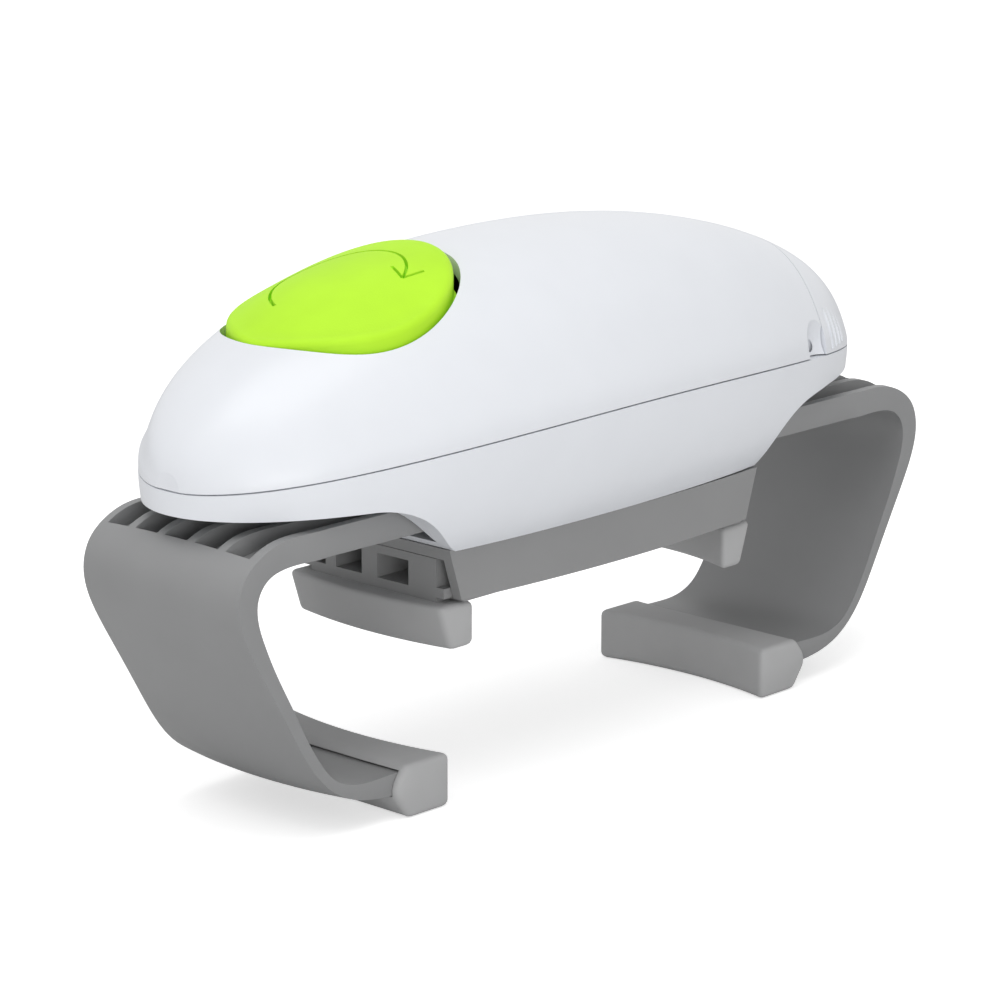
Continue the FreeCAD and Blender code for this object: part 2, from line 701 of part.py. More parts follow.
# each stretch of the deck: its span in x and its half width
DECK_STRETCHES = (((-62.5, -42.0), 14.0), ((-42.0, 20.0), 30.0), ((20.0, 42.0), 22.0))
BUSH_WALL = 2.0
PILLARS = ((-58.0, 9.5), (-58.0, -9.5), (6.0, 19.0), (6.0, -19.0))
PILLAR_RADIUS = 2.6
BRIDGE_X = (-76.0, 10.0)
BRIDGE_HALF = 12.5
BRIDGE_WIDE_X = (-24.0, 10.0)
BRIDGE_WIDE_HALF = 22.5


def gear_deck():
    pieces = [mirrored_box(x, half, DECK_Z) for x, half in DECK_STRETCHES]
    for x, y in PILLARS:
        pieces.append(rod(PILLAR_RADIUS, (DECK_Z[1], BRIDGE_Z[0]), x, y))
    for side in (-1, 1):
        guide_y = sorted(side * y for y in GUIDE_Y)
        guide_x = (-GUIDE_HALF_LENGTH, GUIDE_HALF_LENGTH)
        pieces.append(box(guide_x, guide_y, (PLATE_TOP_Z + ARM_RUN_GAP, DECK_Z[0])))
    deck = pieces[0].fuse(pieces[1:])
    deck = deck.cut(rod(SPINDLE_RADIUS + RUN_FIT + BUSH_WALL, (0, DECK_Z[1])))
    for x, y in DECK_SCREWS:
        deck = deck.cut(rod(SCREW_RADIUS + SLIP, (0, FAR), x, y))
    for x, y in ((FIRST_X, FIRST_Y), (SECOND_X, SECOND_Y)):
        deck = deck.cut(rod(AXLE_RADIUS, (0, FAR), x, y))
    return deck.removeSplitter()


def gear_bridge():
    bridge = mirrored_box(BRIDGE_X, BRIDGE_HALF, BRIDGE_Z)
    bridge = bridge.fuse(mirrored_box(BRIDGE_WIDE_X, BRIDGE_WIDE_HALF, BRIDGE_Z))
    bridge = bridge.cut(motor_can(SLIP))
    bridge = bridge.cut(rod(SHAFT_RADIUS + RUN_FIT, (0, FAR)))
    bridge = bridge.cut(rod(AXLE_RADIUS, (0, FAR), SECOND_X, SECOND_Y))
    bridge = bridge.cut(rod(FIRST_HUB_RADIUS + RUN_FIT, (0, FAR), FIRST_X, FIRST_Y))
    return bridge.removeSplitter()


def motor_can(grow):
    height = (DECK_Z[1], DECK_Z[1] + MOTOR_HEIGHT)
    can = rod(MOTOR_RADIUS + grow, height, MOTOR_X)
    flats = MOTOR_HALF_THICKNESS + grow
    return can.common(mirrored_box((MOTOR_X - FAR, MOTOR_X + FAR), flats, height))


def motor():
    bore = rod(MOTOR_SHAFT_RADIUS + RUN_FIT, (DECK_Z[1] + 2, FAR), MOTOR_X)
    return motor_can(0).cut(bore)


def motor_shaft():
    return rod(MOTOR_SHAFT_RADIUS, (DECK_Z[1] + 2.2, FIRST_GEAR_Z[1] + 1.0), MOTOR_X)


def gear_axles():
    first = rod(AXLE_RADIUS, (DECK_Z[0], FIRST_GEAR_Z[1] + 0.8), FIRST_X, FIRST_Y)
    second = rod(AXLE_RADIUS, (DECK_Z[0], BRIDGE_Z[1]), SECOND_X, SECOND_Y)
    return Part.makeCompound([first, second])


def deck_screws():
    screws = []
    for x, y in DECK_SCREWS:
        head = rod(SCREW_HEAD_RADIUS, (DECK_Z[1], DECK_Z[1] + HEAD_HEIGHT), x, y)
        screws.append(head.fuse(rod(SCREW_RADIUS, (DECK_Z[0] - 7, DECK_Z[1]), x, y)))
    return Part.makeCompound(screws)


def spindle_bush():
    z = (DECK_Z[0], TABLE_GEAR_Z[0] - ARM_RUN_GAP)
    wall = rod(SPINDLE_RADIUS + RUN_FIT + BUSH_WALL, z)
    return wall.cut(rod(SPINDLE_RADIUS + RUN_FIT, z))


# ---- gear train ----

FIRST_HUB_RADIUS = 2.3
SECOND_HUB_RADIUS = 3.2
TABLE_PHASE = 0.0
TABLE_DIRECTION = math.atan2(SECOND_Y, SECOND_X)
SECOND_DRIVER_PHASE = mesh_phase(
    TABLE_PITCH, TABLE_PHASE, TABLE_DRIVER_PITCH, TABLE_MODULE, TABLE_DIRECTION)
SECOND_PHASE = 0.0
FIRST_DIRECTION = math.atan2(FIRST_Y - SECOND_Y, FIRST_X - SECOND_X)
FIRST_DRIVER_PHASE = mesh_phase(
    SECOND_PITCH, SECOND_PHASE, SECOND_DRIVER_PITCH, SECOND_MODULE, FIRST_DIRECTION)
FIRST_PHASE = 0.0
MOTOR_PHASE = mesh_phase(FIRST_PITCH, FIRST_PHASE, MOTOR_PITCH, FIRST_MODULE, MOTOR_ANGLE)
WHEEL_ADDENDUM = 0.5
PINION_ADDENDUM = 0.9
RUNNING_FACE_GAP = 0.2


def turntable_gear():
    wheel = gear(TABLE_MODULE, TABLE_TEETH, TABLE_PHASE, TABLE_GEAR_Z, 0.7)
    return wheel.cut(rod(SPINDLE_RADIUS, (0, FAR)))


def second_gear():
    x, y = SECOND_X, SECOND_Y
    foot = DECK_Z[1] + RUNNING_FACE_GAP
    driver = gear(TABLE_MODULE, TABLE_DRIVER_TEETH, SECOND_DRIVER_PHASE,
                  (foot, TABLE_GEAR_Z[1] + 0.3), PINION_ADDENDUM, x, y)
    wheel = gear(SECOND_MODULE, SECOND_TEETH, SECOND_PHASE, SECOND_GEAR_Z, WHEEL_ADDENDUM, x, y)
    hub = rod(SECOND_HUB_RADIUS, (foot, BRIDGE_Z[0] - RUNNING_FACE_GAP), x, y)
    return wheel.fuse([driver, hub]).cut(rod(AXLE_RADIUS + RUN_FIT, (0, FAR), x, y)).removeSplitter()


def first_gear():
    x, y = FIRST_X, FIRST_Y
    driver = gear(SECOND_MODULE, SECOND_DRIVER_TEETH, FIRST_DRIVER_PHASE,
                  (SECOND_GEAR_Z[0] - 0.3, SECOND_GEAR_Z[1] + 0.3), PINION_ADDENDUM, x, y)
    wheel = gear(FIRST_MODULE, FIRST_TEETH, FIRST_PHASE, FIRST_GEAR_Z, WHEEL_ADDENDUM, x, y)
    hub = rod(FIRST_HUB_RADIUS, (DECK_Z[1] + RUNNING_FACE_GAP, FIRST_GEAR_Z[1]), x, y)
    return wheel.fuse([driver, hub]).cut(rod(AXLE_RADIUS + RUN_FIT, (0, FAR), x, y)).removeSplitter()


def motor_pinion():
    z = (DECK_Z[1] + MOTOR_HEIGHT + 0.4, FIRST_GEAR_Z[1] + 0.3)
    pinion = gear(FIRST_MODULE, MOTOR_TEETH, MOTOR_PHASE, z, PINION_ADDENDUM, MOTOR_X)
    return pinion.cut(rod(MOTOR_SHAFT_RADIUS, (0, FAR), MOTOR_X))


def arm_pinion():
    pinion = gear(ARM_MODULE, ARM_TEETH, 0.0, ARM_GEAR_Z, PINION_ADDENDUM)
    collar = rod(SPINDLE_RADIUS + 1.4, (ARM_GEAR_Z[0], DECK_Z[0] - RUNNING_FACE_GAP))
    return pinion.fuse(collar).cut(rod(SPINDLE_RADIUS + RUN_FIT, (0, FAR))).removeSplitter()


def jaw_pinion():
    half_tooth = math.pi / JAW_TEETH
    pinion = gear(JAW_MODULE, JAW_TEETH, half_tooth, JAW_GEAR_Z, 0.8)
    return pinion.cut(rod(SHAFT_RADIUS, (0, FAR)))


SHAFT_HEAD_Z = 42.2
SHAFT_HEAD_RADIUS = 3.8


def centre_shaft():
    shaft = rod(SHAFT_RADIUS, (SHAFT_HEAD_Z, BRIDGE_Z[1]))
    return shaft.fuse(rod(SHAFT_HEAD_RADIUS, (SHAFT_HEAD_Z, JAW_GEAR_Z[0]))).removeSplitter()


CLUTCH_RADIUS = 9.0
CLUTCH_THICKNESS = 1.3


def clutch_disc():
    z = (TABLE_GEAR_Z[1] + 0.1, TABLE_GEAR_Z[1] + 0.1 + CLUTCH_THICKNESS)
    return rod(CLUTCH_RADIUS, z).cut(rod(SHAFT_RADIUS, z))


# ---- turntable ----

RETAINER_Z = (BELLY_Z + SHELL_WALL + 0.2, BELLY_Z + SHELL_WALL + 2.0)
RETAINER_RADIUS = 15.0
RETAINER_SCREW_REACH = 8.3
SHOULDER_RADIUS = 7.3
SMALL_SCREW_RADIUS = 0.8
SMALL_HEAD_RADIUS = 1.4


def table_outline(end_x, end_half, mid_half, z):
    corners = [V(end_x, -end_half, z), V(end_x, end_half, z), V(-end_x, end_half, z), V(-end_x, -end_half, z)]
    far_side = Part.Arc(corners[1], V(0, mid_half, z), corners[2]).toShape()
    near_side = Part.Arc(corners[3], V(0, -mid_half, z), corners[0]).toShape()
    ends = [Part.makeLine(corners[0], corners[1]), Part.makeLine(corners[2], corners[3])]
    return Part.Wire([ends[0], far_side, ends[1], near_side])


def turntable_housing():
    low = table_outline(TABLE_END_BOTTOM_X, TABLE_END_HALF_WIDTH, TABLE_MID_HALF_WIDTH, TABLE_BOTTOM_Z)
    high = table_outline(TABLE_END_TOP_X, TABLE_END_HALF_WIDTH, TABLE_MID_HALF_WIDTH, TABLE_TOP_Z)
    housing = Part.makeLoft([low, high], True, True)
    channel = mirrored_box((-FAR, FAR), CHANNEL_HALF_WIDTH, (0, TABLE_TOP_Z - TABLE_ROOF))
    housing = housing.cut(channel).fuse(rod(HUB_RADIUS, (TABLE_TOP_Z - TABLE_ROOF, RETAINER_Z[0])))
    housing = housing.cut(rod(SPINDLE_RADIUS, (0, FAR)))
    for x, y in ring_places(RETAINER_SCREW_REACH, 3):
        housing = housing.cut(rod(SMALL_SCREW_RADIUS, (TABLE_TOP_Z - 1, FAR), x, y))
    return housing.removeSplitter()


def ring_places(reach, count):
    return [(reach * math.cos(2 * math.pi * k / count), reach * math.sin(2 * math.pi * k / count))
            for k in range(count)]


def turntable_spindle():
    tube = rod(SPINDLE_RADIUS, (TABLE_TOP_Z - TABLE_ROOF, TABLE_GEAR_Z[1]))
    shoulder = rod(SHOULDER_RADIUS, (RETAINER_Z[1] + 1.5, ARM_GEAR_Z[0] - RUNNING_FACE_GAP / 2))
    return tube.fuse(shoulder).cut(rod(SHAFT_RADIUS + RUN_FIT, (0, FAR))).removeSplitter()


def turntable_retainer():
    ring = rod(RETAINER_RADIUS, RETAINER_Z).cut(rod(SPINDLE_RADIUS, RETAINER_Z))
    for x, y in ring_places(RETAINER_SCREW_REACH, 3):
        ring = ring.cut(rod(SMALL_SCREW_RADIUS, (0, FAR), x, y))
        ring = ring.cut(rod(SMALL_HEAD_RADIUS, (RETAINER_Z[1] - 0.9, FAR), x, y))
    return ring


def retainer_screws():
    screws = []
    for x, y in ring_places(RETAINER_SCREW_REACH, 3):
        head = rod(SMALL_HEAD_RADIUS, (RETAINER_Z[1] - 0.9, RETAINER_Z[1]), x, y)
        screws.append(head.fuse(rod(SMALL_SCREW_RADIUS, (TABLE_TOP_Z - 1, RETAINER_Z[1] - 0.9), x, y)))
    return Part.makeCompound(screws)


def jaw_rails():
    z = (TABLE_BOTTOM_Z - RAIL_THICKNESS, TABLE_BOTTOM_Z)
    rails = [box((-RAIL_HALF_LENGTH, RAIL_HALF_LENGTH), RAIL_Y, z)]
    return Part.makeCompound(rails + [turned(rails[0])])


# ---- lid jaws ----

def front_jaw():
    """Cored-out slide block at the front, with its rack on the +Y side and the pad carrier."""
    x = (-JAW_OUTER_X, -JAW_OUTER_X + JAW_LENGTH)
    z = (JAW_BOTTOM_Z, TABLE_TOP_Z - TABLE_ROOF - JAW_RUN_GAP)
    block = mirrored_box(x, JAW_HALF_WIDTH, z).fuse(mirrored_box(x, RUNNER_HALF_WIDTH, RUNNER_Z))
    through, blind, side = POCKETS_Y
    block = block.cut(box((-FAR, 0), through, POCKET_Z))
    for span in (blind, side):
        block = block.cut(box((-FAR, x[0] + POCKET_BLIND_DEPTH), span, POCKET_Z))
    carrier = mirrored_box((-CARRIER_X[1], -CARRIER_X[0]), CARRIER_HALF_WIDTH, (CARRIER_TIP_Z, JAW_BOTTOM_Z))
    teeth = rack(JAW_MODULE, 1, JAW_PITCH, x[1] - 1, JAW_TRAVEL_OUT + 3, JAW_GEAR_Z, 3.0, 0.55)
    return block.fuse([carrier, teeth]).removeSplitter()


def front_lid_pad():
    pad = mirrored_box((-LID_PAD_OUTER_X, -30), LID_PAD_HALF_WIDTH, LID_PAD_Z)
    corners = [e for e in pad.Edges if upright(e) and e.Vertexes[0].X < -LID_PAD_OUTER_X + 0.1]
    pad = pad.makeFillet(LID_PAD_CORNER, corners)
    bottom = [e for e in pad.Edges if level(e, LID_PAD_Z[0]) and e.CenterOfMass.x < -31]
    pad = pad.makeFillet(1.0, bottom)
    pad = pad.cut(rod(LID_PAD_FACE_RADIUS, LID_PAD_Z))
    slot = mirrored_box((-CARRIER_X[1], -CARRIER_X[0]), CARRIER_HALF_WIDTH, (CARRIER_TIP_Z, LID_PAD_Z[1]))
    return pad.cut(slot)


def upright(edge):
    a, b = edge.Vertexes[0].Point, edge.Vertexes[-1].Point
    return abs(a.x - b.x) < 1e-6 and abs(a.y - b.y) < 1e-6


def level(edge, z):
    return all(abs(v.Z - z) < 1e-6 for v in edge.Vertexes)


# ---- jar arms ----

def lines_through(points):
    return [Part.makeLine(V(*a), V(*b)) for a, b in zip(points, points[1:])]


def arm_bow():
    """The rear arm's bent part: its side profile swung about an upright axis, so it bows outwards.

    The profile is given at the arm's side faces, so it is moved out to the middle plane first.
    """
    def at(point):
        x, z = point
        return (ARM_BOW_CENTRE_X + math.hypot(x - ARM_BOW_CENTRE_X, ARM_HALF_WIDTH), 0, z)

    tip = [ARM_OUTER[-1], ARM_INNER[-1]]
    root = [ARM_INNER[0], (BOW_INNER_X, PLATE_BOTTOM_Z), (BOW_INNER_X, PLATE_TOP_Z), ARM_OUTER[0]]
    edges = [smooth([at(p) for p in ARM_OUTER])]
    edges += lines_through([at(p) for p in tip])
    edges += [smooth([at(p) for p in ARM_INNER])]
    edges += lines_through([at(p) for p in root])
    face = Part.Face(Part.Wire(edges))
    face.rotate(V(ARM_BOW_CENTRE_X, 0, 0), Z_AXIS, -BOW_SWING / 2)
    bow = face.revolve(V(ARM_BOW_CENTRE_X, 0, 0), Z_AXIS, BOW_SWING)
    return bow.common(mirrored_box((0, FAR), ARM_HALF_WIDTH, (0, FAR)))


BOW_SWING = 40.0
BOW_INNER_X = 58.0
POCKET_PROFILE = ((45.5, 57.9), (87.5, 57.9), (92.0, 57.1), (94.4, 55.9), (97.0, 59.6), (97.0, 63.0), (45.5, 63.0))


def rear_arm():
    plate = mirrored_box((PLATE_INNER_X, BOW_INNER_X + 4), ARM_HALF_WIDTH, (PLATE_BOTTOM_Z, PLATE_TOP_Z))
    tongue = mirrored_box((TONGUE_TIP_X, BOW_INNER_X + 4), ARM_HALF_WIDTH, (TONGUE_BOTTOM_Z, TONGUE_TOP_Z))
    arm = arm_bow().fuse([plate, tongue]).removeSplitter()
    half = (RIB_PITCH - RIB_WIDTH) / 2
    for count in range(RIB_COUNT - 1):
        middle = (count - (RIB_COUNT - 2) / 2) * RIB_PITCH
        corners = [V(x, middle - half, z) for x, z in POCKET_PROFILE]
        pocket = Part.Face(Part.makePolygon(corners + corners[:1])).extrude(V(0, 2 * half, 0))
        arm = arm.cut(pocket)
    return arm


def front_arm():
    return turned(rear_arm())


def rear_jar_pad():
    outline = [V(x, -JAR_PAD_HALF_WIDTH, z) for x, z in JAR_PAD_PROFILE]
    pad = Part.Face(Part.makePolygon(outline + outline[:1])).extrude(V(0, 2 * JAR_PAD_HALF_WIDTH, 0))
    pad = pad.cut(rod(JAR_PAD_FACE_RADIUS, (-1, FAR), JAR_PAD_FACE_X - JAR_PAD_FACE_RADIUS))
    outer = [e for e in pad.Edges if e.CenterOfMass.x > 50 and not across(e)]
    pad = pad.makeFillet(JAR_PAD_ROUND, outer)
    return pad.cut(rear_arm())


def across(edge):
    a, b = edge.Vertexes[0].Point, edge.Vertexes[-1].Point
    return abs(a.y - b.y) > 1


def front_jar_pad():
    return turned(rear_jar_pad())


def front_rack():
    """Rack on the front arm's plate, on the +Y side of the pinion."""
    low, high = ARM_GEAR_Z
    strip = rack(ARM_MODULE, 1, ARM_PITCH, -RACK_OUTER_X, ARM_TRAVEL_OUT + 4, (low, high), RACK_BACK, 0.9)
    root_y = ARM_PITCH + ROOT_DEPTH * ARM_MODULE
    foot = box((-RACK_OUTER_X, -PLATE_INNER_X), (root_y, RACK_FOOT_Y), (PLATE_TOP_Z, RACK_FOOT_TOP_Z))
    return strip.fuse(foot).removeSplitter()


NODES = {
    "upper_shell": upper_shell,
    "lower_shell": lower_shell,
    "battery_cover": battery_cover,
    "button": button,
    "button_spring": button_spring,
    "push_switch": push_switch,
    "switch_plunger": switch_plunger,
    "circuit_board": circuit_board,
    "case_screws": case_screws,
    "deck_screws": deck_screws,
    "gear_deck": gear_deck,
    "gear_bridge": gear_bridge,
    "gear_axles": gear_axles,
    "spindle_bush": spindle_bush,
    "motor": motor,
    "motor_shaft": motor_shaft,
    "motor_pinion": motor_pinion,
    "first_gear": first_gear,
    "second_gear": second_gear,
    "turntable_gear": turntable_gear,
    "clutch_disc": clutch_disc,
    "centre_shaft": centre_shaft,
    "jaw_pinion": jaw_pinion,
    "arm_pinion": arm_pinion,
    "battery_tray": battery_tray,
    "battery_cells": battery_cells,
    "cell_contacts": cell_contacts,
    "cover_contact": cover_contact,
    "turntable_housing": turntable_housing,
    "turntable_spindle": turntable_spindle,
    "turntable_retainer": turntable_retainer,
    "retainer_screws": retainer_screws,
    "jaw_rails": jaw_rails,
    "front_jaw": front_jaw,
    "rear_jaw": lambda: turned(front_jaw()),
    "front_lid_pad": front_lid_pad,
    "rear_lid_pad": lambda: turned(front_lid_pad()),
    "front_arm": front_arm,
    "rear_arm": rear_arm,
    "front_rack": front_rack,
    "rear_rack": lambda: turned(front_rack()),
    "front_jar_pad": front_jar_pad,
    "rear_jar_pad": rear_jar_pad,
}


def main():
    os.makedirs("parts", exist_ok=True)
    for name, make in NODES.items():
        make().exportStep(f"parts/{name}.step")


if __name__ == "__main__":
    main()
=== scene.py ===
import math

import bpy
from mathutils import Matrix, Vector


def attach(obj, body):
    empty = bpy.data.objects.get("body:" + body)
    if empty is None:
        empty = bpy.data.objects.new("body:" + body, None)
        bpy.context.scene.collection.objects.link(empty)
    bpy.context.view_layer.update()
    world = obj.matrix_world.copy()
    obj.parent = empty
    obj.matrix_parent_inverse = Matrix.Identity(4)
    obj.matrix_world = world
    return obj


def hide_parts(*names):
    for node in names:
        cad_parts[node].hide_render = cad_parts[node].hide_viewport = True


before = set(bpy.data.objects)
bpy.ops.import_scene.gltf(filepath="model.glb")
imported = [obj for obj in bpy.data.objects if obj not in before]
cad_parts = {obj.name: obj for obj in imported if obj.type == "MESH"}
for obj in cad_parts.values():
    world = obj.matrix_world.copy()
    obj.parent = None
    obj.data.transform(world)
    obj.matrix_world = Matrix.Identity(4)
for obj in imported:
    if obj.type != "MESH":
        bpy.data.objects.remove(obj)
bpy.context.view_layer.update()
MM = 0.001

# ---- Camera and studio ----
# A pale floor under a white surround, one large soft lamp overhead and a weaker one low in front.
# The floor keeps the soft shadow under the two arms.
CAMERA_PLACE = Vector((-0.56495, -0.52400, 0.24508))
CAMERA_BACK = Vector((-0.70526, -0.66447, 0.24716))
CAMERA_LENS = 140.15

camera_data = bpy.data.cameras.new("camera")
camera_data.lens = CAMERA_LENS
camera_data.sensor_width = 36.0
camera_data.clip_start = 0.01
camera_data.clip_end = 20.0
camera = bpy.data.objects.new("camera", camera_data)
camera.location = CAMERA_PLACE
camera.rotation_mode = "QUATERNION"
camera.rotation_quaternion = (-CAMERA_BACK).to_track_quat("-Z", "Y")
bpy.context.scene.collection.objects.link(camera)
bpy.context.scene.camera = camera
bpy.context.scene.view_settings.view_transform = "Standard"

AMBIENT = 0.59
world = bpy.data.worlds.new("surround")
bpy.context.scene.world = world
world.use_nodes = True
nodes, links = world.node_tree.nodes, world.node_tree.links
rays = nodes.new("ShaderNodeLightPath")
seen = nodes.new("ShaderNodeMath")
seen.operation = "MAXIMUM"
links.new(rays.outputs["Is Camera Ray"], seen.inputs[0])
links.new(rays.outputs["Is Glossy Ray"], seen.inputs[1])
seen_too = nodes.new("ShaderNodeMath")
seen_too.operation = "MAXIMUM"
links.new(seen.outputs[0], seen_too.inputs[0])
links.new(rays.outputs["Is Transmission Ray"], seen_too.inputs[1])
strength = nodes.new("ShaderNodeMapRange")
strength.inputs["To Min"].default_value = AMBIENT
strength.inputs["To Max"].default_value = 1.0
links.new(seen_too.outputs[0], strength.inputs["Value"])
backdrop = nodes["Background"]
backdrop.inputs["Color"].default_value = (1, 1, 1, 1)
links.new(strength.outputs["Result"], backdrop.inputs["Strength"])


def lamp(name, place, target, size, watts):
    """A square soft box at a place, turned to a target."""
    data = bpy.data.lights.new(name, "AREA")
    data.size = size
    data.energy = watts
    soft_box = bpy.data.objects.new(name, data)
    soft_box.location = place
    soft_box.rotation_mode = "QUATERNION"
    soft_box.rotation_quaternion = (Vector(target) - Vector(place)).to_track_quat("-Z", "Y")
    bpy.context.scene.collection.objects.link(soft_box)


lamp("overhead_soft_box", place=(-0.25, -0.10, 0.90), target=(0, 0, 0.05), size=0.8, watts=3.5)
lamp("low_soft_box", place=(-0.60, -0.75, 0.06), target=(0, 0, 0.06), size=0.5, watts=2.9)

FLOOR_SIZE = 6.0
FLOOR_GREY = 0.85
FLOOR_LIFT = 0.56

bpy.ops.object.select_all(action="DESELECT")
bpy.ops.mesh.primitive_plane_add(size=FLOOR_SIZE, location=(0, 0, 0))
floor = bpy.context.object
floor.name = "floor"
floor_paint = bpy.data.materials.new("floor_paint")
floor_paint.use_nodes = True
nodes, links = floor_paint.node_tree.nodes, floor_paint.node_tree.links
paint = nodes["Principled BSDF"]
paint.inputs["Base Color"].default_value = (FLOOR_GREY, FLOOR_GREY, FLOOR_GREY, 1)
paint.inputs["Roughness"].default_value = 0.9
paint.inputs["Specular IOR Level"].default_value = 0.0
rays = nodes.new("ShaderNodeLightPath")
lift = nodes.new("ShaderNodeMath")
lift.operation = "MULTIPLY"
lift.inputs[1].default_value = FLOOR_LIFT
links.new(rays.outputs["Is Camera Ray"], lift.inputs[0])
glow = nodes.new("ShaderNodeEmission")
links.new(lift.outputs[0], glow.inputs["Strength"])
both = nodes.new("ShaderNodeAddShader")
links.new(paint.outputs[0], both.inputs[0])
links.new(glow.outputs[0], both.inputs[1])
links.new(both.outputs[0], nodes["Material Output"].inputs["Surface"])
floor.data.materials.append(floor_paint)

# ---- White casing: upper shell, lower shell and battery cover ----
# Three thin mouldings in white ABS with a fine satin skin from the mould. The shells meet at the
# parting line and are screwed together from below; the cover slides on at the battery end.
WHITE = (0.79, 0.81, 0.85)
WHITE_ROUGHNESS = 0.33
FLOW_SCALE = 60.0
FLOW_DETAIL = 3.0
FLOW_BAND = (0.35, 0.65)
SKIN_DETAIL = 2.0
SATIN_SPREAD = 0.03
MERGE_DISTANCE = 0.001 * MM
SMOOTH_BELOW = 40


def moulded(name, colour, roughness, grain, depth, mottle=0.02):
    """A moulded plastic: grain is the width of its skin texture and depth its height, in metres."""
    material = bpy.data.materials.new(name)
    material.use_nodes = True
    nodes, links = material.node_tree.nodes, material.node_tree.links
    plastic = nodes["Principled BSDF"]
    place = nodes.new("ShaderNodeTexCoord")
    skin = nodes.new("ShaderNodeTexNoise")
    skin.inputs["Scale"].default_value = 1 / grain
    skin.inputs["Detail"].default_value = SKIN_DETAIL
    links.new(place.outputs["Object"], skin.inputs["Vector"])
    bump = nodes.new("ShaderNodeBump")
    bump.inputs["Distance"].default_value = depth
    links.new(skin.outputs["Fac"], bump.inputs["Height"])
    links.new(bump.outputs["Normal"], plastic.inputs["Normal"])
    flow = nodes.new("ShaderNodeTexNoise")
    flow.inputs["Scale"].default_value = FLOW_SCALE
    flow.inputs["Detail"].default_value = FLOW_DETAIL
    links.new(place.outputs["Object"], flow.inputs["Vector"])
    tone = nodes.new("ShaderNodeValToRGB")
    dark = [channel * (1 - mottle) for channel in colour]
    light = [min(channel * (1 + mottle), 1) for channel in colour]
    for element, position, shade in zip(tone.color_ramp.elements, FLOW_BAND, (dark, light)):
        element.position = position
        element.color = (*shade, 1)
    links.new(flow.outputs["Fac"], tone.inputs["Fac"])
    links.new(tone.outputs["Color"], plastic.inputs["Base Color"])
    satin = nodes.new("ShaderNodeMapRange")
    satin.inputs["To Min"].default_value = roughness - SATIN_SPREAD
    satin.inputs["To Max"].default_value = roughness + SATIN_SPREAD
    links.new(flow.outputs["Fac"], satin.inputs["Value"])
    links.new(satin.outputs["Result"], plastic.inputs["Roughness"])
    return material


def dress(material, *names):
    """Gives CAD nodes their finish."""
    for name in names:
        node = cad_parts[name]
        node.data.materials.clear()
        node.data.materials.append(material)


def merged_copy(node, name):
    """A copy of a CAD node's mesh as a new object, its loose triangles merged."""
    piece = bpy.data.objects.new(name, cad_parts[node].data.copy())
    bpy.context.scene.collection.objects.link(piece)
    bpy.ops.object.select_all(action="DESELECT")
    piece.select_set(True)
    bpy.context.view_layer.objects.active = piece
    bpy.ops.object.mode_set(mode="EDIT")
    bpy.ops.mesh.select_all(action="SELECT")
    bpy.ops.mesh.remove_doubles(threshold=MERGE_DISTANCE)
    bpy.ops.object.mode_set(mode="OBJECT")
    piece.data.materials.clear()
    return piece


def applied(piece, kind, **settings):
    """Adds a modifier to a piece, sets it and applies it."""
    bpy.ops.object.select_all(action="DESELECT")
    piece.select_set(True)
    bpy.context.view_layer.objects.active = piece
    modifier = piece.modifiers.new(kind.lower(), kind)
    for setting, value in settings.items():
        setattr(modifier, setting, value)
    bpy.ops.object.modifier_apply(modifier=modifier.name)


def cut_by(piece, tool):
    """Cuts a piece by a tool that is then deleted."""
    applied(piece, "BOOLEAN", object=tool, operation="DIFFERENCE", solver="EXACT")
    bpy.data.objects.remove(tool)


def placed(piece, body, node, material):
    """Gives a finished piece its finish and its body, and hides the CAD node that it stands for, if
    any.
    """
    bpy.ops.object.select_all(action="DESELECT")
    piece.select_set(True)
    bpy.context.view_layer.objects.active = piece
    bpy.ops.object.shade_smooth_by_angle(angle=math.radians(SMOOTH_BELOW))
    piece.data.materials.append(material)
    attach(piece, body)
    if node:
        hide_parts(node)


white_abs = moulded("white_abs", WHITE, WHITE_ROUGHNESS, 0.0002, 0.000002, 0.01)
dress(white_abs, "upper_shell", "lower_shell")

# ---- Battery cover and the ribs behind its thumb scoops ----
# The cover is a moulding of the same ABS that slides off the battery end. Each thumb scoop breaks
# through the upper shell's thin wall, so a rounded rib stands behind it and closes the view inside.
dress(white_abs, "battery_cover")
RIB_MIDDLE = (57.6 * MM, 75.9 * MM)
RIB_REACH = (4.0 * MM, 4.2 * MM)
RIB_INNER = 23.9 * MM
RIB_WALL = 1.0 * MM
RIB_ROUNDNESS = 0.5
RIB_EDGE = 0.2 * MM
RIB_POINTS = 32

for side in (-1, 1):
    bpy.ops.object.select_all(action="DESELECT")
    bpy.ops.mesh.primitive_circle_add(vertices=RIB_POINTS, fill_type="NGON")
    rib = bpy.context.object
    rib.name = "scoop_rib_near" if side < 0 else "scoop_rib_far"
    for vertex in rib.data.vertices:
        x, z = (math.copysign(abs(share) ** RIB_ROUNDNESS, share) for share in vertex.co.xy)
        x, z = RIB_MIDDLE[0] + RIB_REACH[0] * x, RIB_MIDDLE[1] + RIB_REACH[1] * z
        vertex.co = (x, side * RIB_INNER, z)
    bpy.ops.object.mode_set(mode="EDIT")
    bpy.ops.mesh.select_all(action="SELECT")
    bpy.ops.mesh.extrude_region_move(TRANSFORM_OT_translate={"value": (0, side * RIB_WALL, 0)})
    bpy.ops.mesh.select_all(action="SELECT")
    bpy.ops.mesh.normals_make_consistent(inside=False)
    bpy.ops.object.mode_set(mode="OBJECT")
    applied(rib, "BEVEL", width=RIB_EDGE, segments=2, limit_method="ANGLE",
            angle_limit=math.radians(60))
    placed(rib, "housing", None, white_abs)

